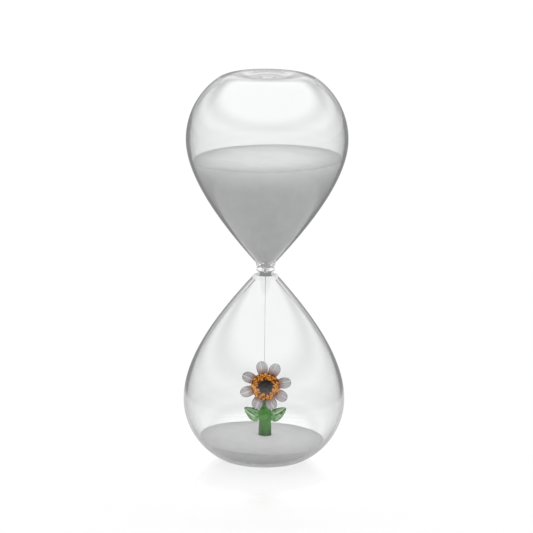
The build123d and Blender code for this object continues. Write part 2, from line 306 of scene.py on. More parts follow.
def makePetalGlass():
    spec = {
        "body": (0.70, 0.67, 0.675), "vein": (0.20, 0.18, 0.19), "edge": (0.07, 0.06, 0.07),
        "streak": (1.0, 1.0, 1.0), "root": (0.42, 0.14, 0.04), "threadAlong": 2.0, "threadAcross": 6.0,
        "threadScale": 1.8, "veins": 21.0, "veinWander": 7.0, "veinFrom": (0.45, 0.95), "veinDepth": 0.6,
        "middle": 0.1, "middleWander": 0.35, "middleFrom": (0.05, 0.11), "middleDepth": 0.95,
        "lineFrom": (0.6, 0.7), "lineDepth": 0.55, "rimFrom": (0.84, 0.98), "rimDepth": 0.9,
        "tipFrom": (0.93, 0.99), "tipDepth": 0.8, "warmWander": 0.3, "warmFrom": (0.46, 0.66),
        "warmDepth": 0.65, "bumpHeight": 0.3 * mm,
    }
    material, graph = newMaterial("petalGlass")
    blade = bladeCoords(graph)
    along = blade["X"]
    across = blade["Y"]
    threads = graph.combine(along * spec["threadAlong"], across * spec["threadAcross"], blade["Z"])
    thread = graph.noise(threads, spec["threadScale"], 3.0, 0.6)
    wander = thread - 0.5
    comb = graph.math("SINE", across * spec["veins"] + thread * spec["veinWander"])
    fine = graph.mapRange(comb, spec["veinFrom"], (0.0, spec["veinDepth"]))
    offCentre = abs(across - spec["middle"] + wander * spec["middleWander"])
    middle = graph.mapRange(offCentre, spec["middleFrom"], (1.0, 0.0))
    highlightLines = graph.mapRange(thread, spec["lineFrom"], (0.0, spec["lineDepth"]))
    rim = graph.mapRange(abs(across), spec["rimFrom"], (0.0, spec["rimDepth"]))
    tip = graph.mapRange(along, spec["tipFrom"], (0.0, spec["tipDepth"]))
    warm = graph.mapRange(along + wander * spec["warmWander"], spec["warmFrom"], (spec["warmDepth"], 0.0))
    # dark veins, then painted highlight in white streak lines and along the middle, painted shade on the rim
    # and the tip, and a warm tint at the root
    colour = graph.mix(fine, (*spec["body"], 1.0), spec["vein"])
    colour = graph.mix(highlightLines, colour, spec["streak"])
    colour = graph.mix(graph.math("MAXIMUM", rim, tip), colour, spec["edge"])
    colour = graph.mix(middle * spec["middleDepth"], colour, spec["streak"])
    colour = graph.mix(warm, colour, spec["root"])
    finishMaterial(graph, {
        "Base Color": colour, "Roughness": graph.gloss(thread, 0.05, 0.2), "IOR": 1.5,
        "Transmission Weight": 0.45, "Normal": graph.bump(thread, 0.5, spec["bumpHeight"]),
    })
    return material


def makeAmberGlass():
    spec = {
        "black": (0.012, 0.003, 0.002), "deep": (0.20, 0.035, 0.004), "orange": (0.80, 0.25, 0.008),
        "gold": (1.0, 0.50, 0.03), "places": (0.38, 0.43, 0.49, 0.58), "cellScale": 620.0,
        "glowScale": 1700.0, "cellShare": 0.75, "bumpHeight": 0.2 * mm,
    }
    material, graph = newMaterial("amberGlass")
    coords = objectCoords(graph)
    cell = graph.noise(coords, spec["cellScale"], 2.0, 0.7)
    glow = graph.noise(coords, spec["glowScale"], 2.0, 0.6)
    shade = cell * spec["cellShare"] + glow * (1 - spec["cellShare"])
    tones = (spec["black"], spec["deep"], spec["orange"], spec["gold"])
    finishMaterial(graph, {
        "Base Color": graph.ramp(shade, spec["places"], tones), "Roughness": graph.gloss(glow, 0.08, 0.2),
        "IOR": 1.52, "Specular IOR Level": 0.2, "Transmission Weight": 0.1,
        "Normal": graph.bump(glow, 0.3, spec["bumpHeight"]),
    })
    return material


def makeSwirlGlass(name, spec, shadeOf):
    # dense glass with a slow swirl of three tones
    material, graph = newMaterial(name)
    coords = objectCoords(graph)
    swirl = graph.noise(coords, spec["scale"], 3.0, 0.6)
    finishMaterial(graph, {
        "Base Color": graph.ramp(shadeOf(graph, coords, swirl), spec["places"], spec["tones"]),
        "Roughness": graph.gloss(swirl, 0.1, 0.3), "IOR": 1.52, "Specular IOR Level": spec["specular"],
        "Normal": graph.bump(swirl, 0.4, spec["bumpHeight"]),
    })
    return material


def makeDiscGlass():
    spec = {
        "tones": ((0.02, 0.004, 0.002), (0.16, 0.03, 0.006), (0.60, 0.20, 0.012)),
        "places": (0.40, 0.52, 0.66), "scale": 700.0, "specular": 0.3, "bumpHeight": 0.2 * mm,
    }
    return makeSwirlGlass("discGlass", spec, lambda graph, coords, swirl: swirl)


def makeDarkGlass():
    spec = {
        "tones": ((0.004, 0.003, 0.003), (0.02, 0.008, 0.004), (0.07, 0.06, 0.006)),
        "places": (0.34, 0.52, 0.68), "scale": 600.0, "specular": 0.08, "bumpHeight": 0.2 * mm,
        "swirlShare": 0.7, "lowerHalf": 0.34,
    }

    def shadeOf(graph, coords, swirl):
        # paler in the lower half
        coreLow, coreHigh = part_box("dark_core")
        heights = (coreLow.z, (coreLow.z + coreHigh.z) / 2)
        low = graph.mapRange(graph.separate(coords, "Z"), heights, (spec["lowerHalf"], 0.0))
        return swirl * spec["swirlShare"] + low

    return makeSwirlGlass("darkGlass", spec, shadeOf)


def makeFloor():
    # a white base; the gleam of the glass sees it as a round card in a darker room
    spec = {
        "level": 0.75, "fill": 1.0, "card": 0.4, "beyond": 0.05, "cardEdge": (0.19, 0.21), "cardBack": 0.02,
        "sheenEdge": (0.05, 0.13), "sheen": (0.1, 0.6), "pale": (0.09, 0.09, 0.09),
        "paler": (0.10, 0.10, 0.10), "specular": 0.42,
    }
    material, graph = newMaterial("paleFloor")
    coords = objectCoords(graph)
    cloud = graph.noise(coords, 0.8, 2.0)
    place = graph.separate(coords)
    across = place["X"] ** 2.0
    back = place["Y"] + spec["cardBack"]
    cardReach = (across + back * back) ** 0.5
    card = graph.mapRange(cardReach, spec["cardEdge"], (spec["card"], spec["beyond"]), True)
    reach = (across + place["Y"] ** 2.0) ** 0.5
    level = spec["level"] + (card - spec["level"]) * mirroredRays(graph)
    level = level + (spec["fill"] - spec["level"]) * metMoreThan(graph, "Diffuse Depth", 0)
    finishMaterial(graph, {
        "Base Color": graph.ramp(cloud, (0.3, 0.7), (spec["pale"], spec["paler"])),
        "Roughness": graph.mapRange(reach, spec["sheenEdge"], spec["sheen"], True),
        "Specular IOR Level": spec["specular"], "Emission Color": (1.0, 1.0, 1.0, 1.0),
        "Emission Strength": level,
    })
    return material


clearGlass = makeClearGlass()
glassWeld = makeWeld()
whiteSand = makeSand()
stemGlass = makeStemGlass()
leafGlass = makeLeafGlass()
petalGlass = makePetalGlass()
amberGlass = makeAmberGlass()
discGlass = makeDiscGlass()
darkGlass = makeDarkGlass()
print("materials made")


# mesh helpers
def placePiece(name, mesh, node):
    # mesh into a finished piece that stands for its CAD node
    mesh.name = name
    piece = bpy.data.objects.new(name, mesh)
    scene.collection.objects.link(piece)
    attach(piece, "root")
    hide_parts(node)
    return piece


def tidyNormals(mesh, merge=0.0, sharpAngle=None):
    work = bmesh.new()
    work.from_mesh(mesh)
    if merge:
        bmesh.ops.remove_doubles(work, verts=work.verts, dist=merge)
    bmesh.ops.recalc_face_normals(work, faces=work.faces)
    work.to_mesh(mesh)
    work.free()
    mesh.shade_smooth()
    if sharpAngle:
        mesh.set_sharp_from_angle(angle=radians(sharpAngle))


def newGeometryTree(name, inputs):
    tree = bpy.data.node_groups.new(name, "GeometryNodeTree")
    tree.interface.new_socket("Geometry", in_out="INPUT", socket_type="NodeSocketGeometry")
    tree.interface.new_socket("Geometry", in_out="OUTPUT", socket_type="NodeSocketGeometry")
    for kind, labels in inputs.items():
        for label in labels:
            tree.interface.new_socket(label, in_out="INPUT", socket_type="NodeSocket" + kind)
    graph = Graph(tree)
    return tree, graph, graph.node("NodeGroupInput")


def finishTree(graph, geometry, given):
    realized = graph.node("GeometryNodeRealizeInstances", {}, {0: geometry})
    sockets = {"Geometry": realized, "Material": given["material"]}
    painted = graph.node("GeometryNodeSetMaterial", {}, sockets)
    graph.node("NodeGroupOutput", {}, {0: painted})


def scatter(graph, given, polar, size, looks):
    # small balls at places given by reach, turn and height
    reach, turn, height = polar
    place = graph.combine(reach * graph.math("COSINE", turn), reach * graph.math("SINE", turn), height)
    points = graph.node("GeometryNodePoints", {}, {"Count": given["count"]})
    placed = graph.node("GeometryNodeSetPosition", {}, {"Geometry": points, "Position": place})
    ball = graph.node("GeometryNodeMeshIcoSphere", {}, {"Radius": size, "Subdivisions": 1})
    sockets = {"Points": placed, "Instance": ball, **looks}
    finishTree(graph, graph.node("GeometryNodeInstanceOnPoints", {}, sockets), given)


def runTree(tree, values, data=None):
    # the plain mesh that a tree makes; of the values, those it has an input for are used
    carrier = bpy.data.objects.new("carrier", data or bpy.data.meshes.new("carrier"))
    scene.collection.objects.link(carrier)
    modifier = carrier.modifiers.new("shape", "NODES")
    modifier.node_group = tree
    for item in tree.interface.items_tree:
        if item.in_out == "INPUT" and item.name in values:
            modifier[item.identifier] = values[item.name]
    depsgraph = bpy.context.evaluated_depsgraph_get()
    mesh = bpy.data.meshes.new_from_object(carrier.evaluated_get(depsgraph))
    carrier.modifiers.clear()
    bpy.data.objects.remove(carrier)
    return mesh


# a section drawn as radius and height, swept once round the upright axis
def makeLatheTree():
    tree, graph, given = newGeometryTree("lathe", {
        "Int": ["segments"], "Float": ["pathRadius"], "Material": ["material"],
    })
    path = graph.node("GeometryNodeCurvePrimitiveCircle", {"mode": "RADIUS"}, {
        "Resolution": given["segments"], "Radius": given["pathRadius"],
    })
    swept = graph.node("GeometryNodeCurveToMesh", {}, {"Curve": path, "Profile Curve": given["Geometry"]})
    closed = graph.node("GeometryNodeMergeByDistance", {}, {"Geometry": swept, "Distance": samePoint})
    finishTree(graph, closed, given)
    return tree


latheTree = makeLatheTree()
latheSpec = {"segments": 192, "smallSegments": 96, "pathRadius": 1.0 * mm, "onAxis": 1e-6}


def lathe(section, material, segments=latheSpec["segments"], sharpAngle=30.0):
    # the section is a closed list of (radius, height)
    curve = bpy.data.curves.new("section", "CURVE")
    curve.dimensions = "3D"
    spline = curve.splines.new("POLY")
    spline.points.add(len(section) - 1)
    for point, (radius, height) in zip(spline.points, section):
        point.co = (radius - latheSpec["pathRadius"], -height, 0.0, 1.0)
    spline.use_cyclic_u = min(radius for radius, _ in section) > latheSpec["onAxis"]
    mesh = runTree(latheTree, {**latheSpec, "segments": segments, "material": material}, curve)
    tidyNormals(mesh, samePoint, sharpAngle)
    return mesh


def weldFaces(mesh, rule):
    # give the fused faces the weld material; the rule reads each face's radius and height
    mesh.materials.append(glassWeld)
    for face in mesh.polygons:
        if rule(sqrt(face.center.x**2 + face.center.y**2), face.center.z):
            face.material_index = 1


def arcPoints(centre, radius, start, end, count):
    turns = np.radians(np.linspace(start, end, count))
    return [(centre[0] + radius * cos(t), centre[1] + radius * sin(t)) for t in turns]


def thickenedArc(centre, first, last, start, end, count):
    # an arc whose radius runs smoothly from the first value to the last
    points = []
    for share in np.linspace(0, 1, count):
        radius = first + (last - first) * share * share * (3 - 2 * share)
        turn = radians(start + (end - start) * share)
        points.append((centre[0] + radius * cos(turn), centre[1] + radius * sin(turn)))
    return points


def bezierPoints(corners, count):
    p = [np.array(corner) for corner in corners]
    points = []
    for t in np.linspace(0, 1, count):
        s = 1 - t
        points.append(tuple(s**3 * p[0] + 3 * s * s * t * p[1] + 3 * s * t * t * p[2] + t**3 * p[3]))
    return points


def joinRuns(*runs):
    # runs of a section end to end, without the doubled meeting points
    joined = []
    for run in runs:
        for point in run:
            if not joined or (Vector(point) - Vector(joined[-1])).length > samePoint:
                joined.append((float(point[0]), float(point[1])))
    if (Vector(joined[0]) - Vector(joined[-1])).length < samePoint:
        joined.pop()
    return joined


# blown glass
glassSpec = {
    "wall": 1.6 * mm, "waistRadius": 4.5 * mm, "waistFillet": 5.94 * mm, "coneAngle": 41.2,
    "waist": 97.3 * mm, "ringWidth": 2.2 * mm, "dishFlat": 7.4 * mm, "groove": 0.55 * mm,
    "beadRise": 0.5 * mm, "beads": 2, "orifice": 0.55 * mm, "orificeDrop": 0.8 * mm,
    "orificeLength": 0.5 * mm, "pipDrop": 0.9 * mm, "lipHeight": 0.7 * mm, "lipRound": 0.3 * mm,
    "sandGap": 0.06 * mm, "melt": 0.5 * mm,
}
# how many points each run of a section has
pointSpec = {
    "dish": 24, "corner": 22, "belly": 44, "cone": 70, "neck": 14, "melt": 10, "bead": 15, "funnel": 16,
    "pip": 20, "round": 8,
}
bulbRadius = cadHigh.x
collarLow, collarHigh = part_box("throat_collar")
lowerSpec = {
    "height": glassSpec["waist"], "dish": 1.9 * mm, "endWall": 1.6 * mm, "belly": 30.5 * mm,
    "ring": 18.4 * mm, "corner": 6.3 * mm, "bellyPull": 0.33, "neckPull": 0.42, "neckWall": 1.9 * mm,
    "seam": collarLow.z, "funnel": 1.5 * mm, "hole": 5.6 * mm, "lip": 6.6 * mm,
}
upperSpec = {
    "height": cadHigh.z - glassSpec["waist"], "dish": 0.8 * mm, "endWall": 0.8 * mm, "belly": 32.1 * mm,
    "ring": 16.7 * mm, "corner": 14.6 * mm, "bellyPull": 0.31, "neckPull": 0.40, "neckWall": 1.5 * mm,
    "seam": cadHigh.z - collarHigh.z, "funnel": 2.5 * mm, "hole": 3.2 * mm, "lip": 4.2 * mm,
}
slope = radians(glassSpec["coneAngle"])


def insideLevel(spec):
    return spec["dish"] + spec["endWall"]


def neckRadius(distance):
    fillet = glassSpec["waistFillet"]
    return glassSpec["waistRadius"] + fillet - sqrt(fillet**2 - distance**2)


def seamRim(spec):
    # outer radius of the collar where it is welded to the bulb
    return neckRadius(spec["height"] - spec["seam"]) - glassSpec["groove"]


def coneEnd(spec, inset):
    radius = glassSpec["waistRadius"] + glassSpec["waistFillet"] * (1 - cos(slope)) - inset * cos(slope)
    return radius, spec["height"] - (glassSpec["waistFillet"] + inset) * sin(slope)


def dishRun(spec, inset, start):
    ringInner = spec["ring"] - glassSpec["ringWidth"]
    middle = (ringInner + glassSpec["dishFlat"]) / 2
    level = spec["dish"] + inset
    corners = [(glassSpec["dishFlat"], level), (middle, level), (middle, inset), (ringInner, inset)]
    curve = bezierPoints(corners, pointSpec["dish"])
    return [(start, level), (spec["lip"], level)] + curve + [(spec["ring"], inset)]


def flankRun(spec, inset, neckInset, endInset):
    # the corner thickens from the end wall into the belly wall
    corner = spec["corner"]
    reach = bulbRadius - spec["ring"]
    drop = spec["belly"] - corner
    belly = (reach**2 + drop**2 - corner**2) / (2 * (reach - corner))
    bellyCentre = (bulbRadius - belly, spec["belly"])
    turn = degrees(atan2(-drop, spec["ring"] - bellyCentre[0]))
    end = coneEnd(spec, neckInset)
    length = coneEnd(spec, 0)[1] - spec["belly"]
    pull = spec["neckPull"] * length
    side = bulbRadius - inset
    cone = [
        (side, spec["belly"]), (side, spec["belly"] + spec["bellyPull"] * length),
        (end[0] + pull * sin(slope), end[1] - pull * cos(slope)), end,
    ]
    cornerRadii = (corner - endInset, corner - inset)
    return (
        thickenedArc((spec["ring"], corner), *cornerRadii, -90, turn, pointSpec["corner"])
        + arcPoints(bellyCentre, belly - inset, turn, 0, pointSpec["belly"])
        + bezierPoints(cone, pointSpec["cone"])
    )


def bulbSection(spec):
    # wall of one bulb, from the end dish to the melted edge at the collar
    drop = spec["height"] - spec["seam"]
    fillet = glassSpec["waistFillet"]
    meltDrop = drop + glassSpec["melt"]
    neck = arcPoints(
        (glassSpec["waistRadius"] + fillet, spec["height"]), fillet, 180 + glassSpec["coneAngle"],
        180 + degrees(asin(meltDrop / fillet)), pointSpec["neck"],
    )
    edge = (neckRadius(drop), spec["seam"])
    melted = bezierPoints([
        (neckRadius(meltDrop), spec["height"] - meltDrop), edge, edge, (seamRim(spec), spec["seam"]),
    ], pointSpec["melt"])
    outer = joinRuns(dishRun(spec, 0, spec["hole"]), flankRun(spec, 0, 0, 0), neck, melted)
    wall = glassSpec["wall"]
    inner = joinRuns(dishRun(spec, spec["endWall"], spec["hole"]),
                     flankRun(spec, wall, spec["neckWall"], spec["endWall"]),
                     [(spec["funnel"], spec["seam"])])
    return joinRuns(outer, inner[::-1])


def flipHeights(section):
    return [(radius, cadHigh.z - height) for radius, height in section]


def bulbWelds(spec, toHeight):
    def rule(radius, height):
        level = toHeight(height)
        onSeam = abs(level - spec["seam"]) < nearLevel and radius < seamRim(spec)
        onHole = radius < spec["hole"] + nearLevel
        underLip = radius < spec["lip"] and abs(level - insideLevel(spec)) < nearLevel
        return onSeam or onHole or underLip
    return rule


lowerMesh = lathe(bulbSection(lowerSpec), clearGlass)
weldFaces(lowerMesh, bulbWelds(lowerSpec, lambda height: height))
placePiece("lowerBulb", lowerMesh, "lower_bulb")

upperMesh = lathe(flipHeights(bulbSection(upperSpec)), clearGlass)
weldFaces(upperMesh, bulbWelds(upperSpec, lambda height: cadHigh.z - height))
placePiece("upperBulb", upperMesh, "upper_bulb")


# how far the funnels' handles reach from their ends
funnelSpec = {
    "upperIn": 0.9 * mm, "upperDown": 1.0 * mm, "upperRise": 0.8 * mm, "lowerFall": 0.5 * mm,
    "lowerIn": 0.6 * mm, "lowerUp": 0.5 * mm,
}


def collarSection():
    # two melted beads outside, a double funnel down to the orifice inside
    low, high = collarLow.z, collarHigh.z
    pitch = (high - low) / glassSpec["beads"]
    outer = []
    for bead in range(glassSpec["beads"]):
        for share in np.linspace(0, 1, pointSpec["bead"]):
            height = low + (bead + share) * pitch
            joints = [low + (bead + end) * pitch - glassSpec["waist"] for end in (0, 1)]
            groove = neckRadius(joints[0]) * (1 - share) + neckRadius(joints[1]) * share
            rise = glassSpec["beadRise"] * 4 * share * (1 - share)
            outer.append((groove - glassSpec["groove"] + rise, height))
    orificeLow = glassSpec["waist"] - glassSpec["orificeDrop"]
    orificeHigh = orificeLow + glassSpec["orificeLength"]
    bore = glassSpec["orifice"]
    upperFunnel = bezierPoints([
        (upperSpec["funnel"], high),
        (upperSpec["funnel"] - funnelSpec["upperIn"], high - funnelSpec["upperDown"]),
        (bore, orificeHigh + funnelSpec["upperRise"]), (bore, orificeHigh),
    ], pointSpec["funnel"])
    lowerFunnel = bezierPoints([
        (bore, orificeLow), (bore, orificeLow - funnelSpec["lowerFall"]),
        (lowerSpec["funnel"] - funnelSpec["lowerIn"], low + funnelSpec["lowerUp"]),
        (lowerSpec["funnel"], low),
    ], pointSpec["funnel"])
    return joinRuns(outer, upperFunnel, lowerFunnel)


collarMesh = lathe(collarSection(), clearGlass)
weldFaces(collarMesh, lambda radius, height: (
    height > collarHigh.z - nearLevel or height < collarLow.z + nearLevel
))
placePiece("throatCollar", collarMesh, "throat_collar")


def plugSection(spec, under):
    # plug in the dish hole, then the part that stands inside the bulb
    return joinRuns([
        (0.0, spec["dish"]), (spec["hole"], spec["dish"]), (spec["hole"], insideLevel(spec)),
        (spec["lip"], insideLevel(spec)),
    ], under)


def plugWelds(spec, toHeight):
    def rule(radius, height):
        level = toHeight(height)
        onHole = radius > spec["hole"] - nearLevel and level < insideLevel(spec) + nearLevel
        underLip = abs(level - insideLevel(spec)) < nearLevel
        return onHole or underLip
    return rule


crownInside = insideLevel(upperSpec)
pipDepth = crownInside + glassSpec["pipDrop"]
pipUnder = bezierPoints([
    (upperSpec["lip"], crownInside), (upperSpec["lip"], pipDepth), (upperSpec["hole"], pipDepth),
    (0.0, pipDepth),
], pointSpec["pip"])
pipSection = flipHeights(plugSection(upperSpec, pipUnder))
pipMesh = lathe(pipSection, clearGlass, latheSpec["smallSegments"])
weldFaces(pipMesh, plugWelds(upperSpec, lambda height: cadHigh.z - height))
placePiece("fillSeal", pipMesh, "fill_seal")

footTop = insideLevel(lowerSpec) + glassSpec["lipHeight"]
lipRound = glassSpec["lipRound"]
lipCentre = (lowerSpec["lip"] - lipRound, footTop - lipRound)
footEdge = arcPoints(lipCentre, lipRound, 0, 90, pointSpec["round"])
footSection = plugSection(lowerSpec, footEdge + [(0.0, footTop)])
footMesh = lathe(footSection, clearGlass, latheSpec["smallSegments"])
weldFaces(footMesh, plugWelds(lowerSpec, lambda height: height))
placePiece("daisyFoot", footMesh, "daisy_foot")
print("glass blown")


# sand
sandSpec = {
    "upperLevel": 152.4 * mm, "upperTilt": 1.5, "lowerRim": 10.3 * mm, "lowerTilt": 1.9,
    "mound": 1.7 * mm, "ripple": 0.10 * mm, "rippleSize": 5.0 * mm, "segments": 192, "topRings": 46,
    "upperRings": 60, "lowerRings": 30, "rimPasses": 8, "stemGap": 0.02 * mm, "sharpAngle": 50.0,
}
stemSpec = {
    "footRadius": 3.45 * mm, "topRadius": 2.6 * mm, "waver": 0.05 * mm, "wavers": 23.0,
    "inset": 0.02 * mm, "rows": 40, "capRows": 14, "capStart": 8,
}
stemLow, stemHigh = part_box("flower_stem")
flowerX = (stemLow.x + stemHigh.x) / 2


def ripple(x, y):
    # soft unevenness of a settled powder surface
    u = x / sandSpec["rippleSize"]
    v = y / sandSpec["rippleSize"]
    broad = sin(u + 0.7) * cos(v * 1.3 + 0.2)
    return sandSpec["ripple"] * (broad + 0.5 * sin(u * 2.3 + v * 1.9))


def topRing(ring):
    # share of the way out, closer together near the glass, and how much ripple is left there
    share = sin(pi / 2 * ring / sandSpec["topRings"])
    return share, 1 - share**8


def innerRadiusTable(spec, flip):
    # inside radius against height, held off the glass by the sand gap
    gap = glassSpec["sandGap"]
    run = flankRun(spec, glassSpec["wall"] + gap, spec["neckWall"] + gap, spec["endWall"] + gap)
    run.append((spec["funnel"] - gap, spec["seam"]))
    if flip:
        run = flipHeights(run)[::-1]
    heights = np.array([height for _, height in run])
    radii = np.array([radius for radius, _ in run])
    return lambda height: float(np.interp(height, heights, radii))


def surfaceRim(radiusOf, heightOf):
    # radius at which a sloping surface meets the glass, for one direction
    def at(turn):
        radius = radiusOf(heightOf(0.0, 0.0))
        for _ in range(sandSpec["rimPasses"]):
            radius = radiusOf(heightOf(radius * cos(turn), radius * sin(turn)))
        return radius
    return at


def ringSkin(name, rings, closed):
    # a stack of rings; the last ring joins the first, or each end is closed by a single point
    segments = sandSpec["segments"]
    turns = [2 * pi * step / segments for step in range(segments)]
    vertices = []
    for centre, radiusAt, heightAt in rings:
        for turn in turns:
            radius = radiusAt(turn)
            x = centre + radius * cos(turn)
            y = radius * sin(turn)
            vertices.append((x, y, heightAt(turn, x, y)))
    faces = []
    for ring in range(len(rings) if closed else len(rings) - 1):
        after = (ring + 1) % len(rings)
        for step in range(segments):
            nextStep = (step + 1) % segments
            faces.append((ring * segments + step, ring * segments + nextStep,
                          after * segments + nextStep, after * segments + step))
    for ring in () if closed else (0, len(rings) - 1):
        row = vertices[ring * segments:(ring + 1) * segments]
        vertices.append(tuple(sum(axis) / segments for axis in zip(*row)))
        tip = len(vertices) - 1
        for step in range(segments):
            faces.append((tip, ring * segments + step, ring * segments + (step + 1) % segments))
    mesh = bpy.data.meshes.new(name)
    mesh.from_pydata(vertices, [], faces)
    mesh.materials.append(whiteSand)
    tidyNormals(mesh, 0.0, sandSpec["sharpAngle"])
    return mesh


def makeUpperSand():
    radiusOf = innerRadiusTable(upperSpec, True)
    tilt = sin(radians(sandSpec["upperTilt"]))
    base = glassSpec["waist"] - glassSpec["orificeDrop"]
    bore = glassSpec["orifice"] - glassSpec["sandGap"]

    def plane(x, y):
        return sandSpec["upperLevel"] + x * tilt

    rim = surfaceRim(radiusOf, plane)
    rings = []
    for ring in range(1, sandSpec["topRings"] + 1):
        share, fade = topRing(ring)
        rings.append((0.0, lambda turn, share=share: rim(turn) * share,
                      lambda turn, x, y, fade=fade: plane(x, y) + ripple(x, y) * fade))
    for ring in range(1, sandSpec["upperRings"] + 1):
        share = ring / sandSpec["upperRings"]

        def heightAt(turn, share=share):
            top = plane(rim(turn) * cos(turn), 0.0)
            return top + (base - top) * share

        def radiusAt(turn, heightAt=heightAt):
            height = heightAt(turn)
            seam = collarHigh.z
            if height > seam:
                return radiusOf(height)
            return bore + (radiusOf(seam) - bore) * (height - base) / (seam - base)

        rings.append((0.0, radiusAt, lambda turn, x, y, heightAt=heightAt: heightAt(turn)))
    return ringSkin("upperSand", rings, False)


placePiece("upperSand", makeUpperSand(), "upper_sand")


def makeLowerSand():
    radiusOf = innerRadiusTable(lowerSpec, False)
    tilt = -sin(radians(sandSpec["lowerTilt"]))
    gap = glassSpec["sandGap"]
    stemHole = stemSpec["footRadius"] + sandSpec["stemGap"]

    def mound(x, y):
        reach = min(1.0, sqrt(x * x + y * y) / bulbRadius)
        rise = sandSpec["mound"] * (1 - reach) ** 2 * (1 + 2 * reach)
        return sandSpec["lowerRim"] + x * tilt + rise

    rim = surfaceRim(radiusOf, mound)
    rings = []
    for ring in range(sandSpec["topRings"] + 1):
        share, fade = topRing(ring)
        rings.append((flowerX * (1 - share),
                      lambda turn, share=share: stemHole + (rim(turn) - stemHole) * share,
                      lambda turn, x, y, fade=fade: mound(x, y) + ripple(x, y) * fade))
    floorLevel = glassSpec["wall"] + gap
    for ring in range(1, sandSpec["lowerRings"]):
        share = ring / sandSpec["lowerRings"]

        def heightAt(turn, share=share):
            top = mound(rim(turn) * cos(turn), rim(turn) * sin(turn))
            return floorLevel + (top - floorLevel) * (1 - share) ** 2

        rings.append((0.0, lambda turn, heightAt=heightAt: radiusOf(heightAt(turn)),
                      lambda turn, x, y, heightAt=heightAt: heightAt(turn)))
    for radius, height in dishRun(lowerSpec, glassSpec["wall"] + gap, lowerSpec["lip"] + gap)[::-1]:
        rings.append((0.0, lambda turn, radius=radius: radius, lambda turn, x, y, height=height: height))
    rings.append((0.0, lambda turn: lowerSpec["lip"] + gap, lambda turn, x, y: footTop + gap))
    rings.append((flowerX, lambda turn: stemHole, lambda turn, x, y: footTop + gap))
    return ringSkin("lowerSand", rings, True)


placePiece("lowerSand", makeLowerSand(), "lower_sand")


streamSpec = {
    "count": 1500, "radius": 0.16 * mm, "grain": 0.1 * mm, "seed": 4, "endGap": 0.2 * mm, "gather": 0.7,
    "sizes": (0.6, 1.3),
}


# grains scattered along an upright thread
def makeStreamTree():
    tree, graph, given = newGeometryTree("fallingSand", {
        "Int": ["count", "seed"], "Float": ["radius", "low", "high", "grain"], "Material": ["material"],
    })

    def chance(offset, low, high):
        sockets = {2: low, 3: high, "Seed": given["seed"] + float(offset)}
        return graph.node("FunctionNodeRandomValue", {"data_type": "FLOAT"}, sockets, 1)

    turn = chance(1, 0.0, 2 * pi)
    reach = chance(2, 0.0, 1.0) ** streamSpec["gather"] * given["radius"]
    level = chance(3, 0.0, 1.0)
    height = given["low"] + (given["high"] - given["low"]) * level
    sockets = {"Scale": chance(4, *streamSpec["sizes"])}
    scatter(graph, given, (reach, turn, height), given["grain"], sockets)
    return tree


streamLow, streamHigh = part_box("sand_stream")
streamMesh = runTree(makeStreamTree(), {
    **streamSpec, "low": streamLow.z + streamSpec["endGap"], "high": streamHigh.z - streamSpec["endGap"],
    "material": whiteSand,
})
placePiece("sandStream", streamMesh, "sand_stream")
print("sand poured")


# daisy
bladeRidges = 17.0
bladeMerge = 1e-8


# one glass blade, petal or leaf: an egg outline with a crease, a fold and a bend
def makeBladeTree():
    tree, graph, given = newGeometryTree("blade", {
        "Float": ["length", "halfWidth", "halfThickness", "rootShare", "tipShare", "crease", "creaseWidth",
                  "fold", "bend", "sideBend", "ridge", "seed"],
        "Int": ["segments"], "Material": ["material"],
    })
    ball = graph.node("GeometryNodeMeshUVSphere", {}, {
        "Segments": given["segments"], "Rings": given["segments"], "Radius": 1.0,
    })
    at = graph.separate(graph.node("GeometryNodeInputPosition"))
    along = at["Z"] * 0.5 + 0.5
    share = given["rootShare"] + (given["tipShare"] - given["rootShare"]) * along
    across = at["X"]
    width = given["halfWidth"] * share * across
    creaseShare = across / given["creaseWidth"]
    fallOff = -(creaseShare * creaseShare)
    dip = graph.math("EXPONENT", fallOff)
    hump = along * (1.0 - along) * 4.0
    ridges = given["ridge"] * hump * graph.math("SINE", across * bladeRidges + given["seed"])
    rise = (
        given["halfThickness"] * at["Y"]
        - given["crease"] * dip * hump
        + given["fold"] * abs(across) * share
        + given["bend"] * along * along
        + ridges
    )
    sideways = width + given["sideBend"] * along * along
    place = graph.combine(given["length"] * along, sideways, rise)
    named = graph.node("GeometryNodeStoreNamedAttribute", {"data_type": "FLOAT_VECTOR", "domain": "POINT"}, {
        "Geometry": ball, "Name": "bladePlace",
        "Value": graph.combine(along, across, given["seed"]),
    })
    shaped = graph.node("GeometryNodeSetPosition", {}, {"Geometry": named, "Position": place})
    finishTree(graph, shaped, given)
    return tree


bladeTree = makeBladeTree()


def placeBlade(name, values, matrix, node):
    mesh = runTree(bladeTree, values)
    mesh.transform(matrix)
    tidyNormals(mesh, bladeMerge)
    return placePiece(name, mesh, node)


def facing(centre, angle):
    # local x out along the angle, local z towards -Y, from a point of the head
    turn = radians(angle)
    outward = Vector((cos(turn), 0.0, sin(turn)))
    front = Vector((0.0, -1.0, 0.0))
    across = front.cross(outward)
    matrix = Matrix((outward, across, front)).transposed().to_4x4()
    matrix.translation = centre
    return matrix


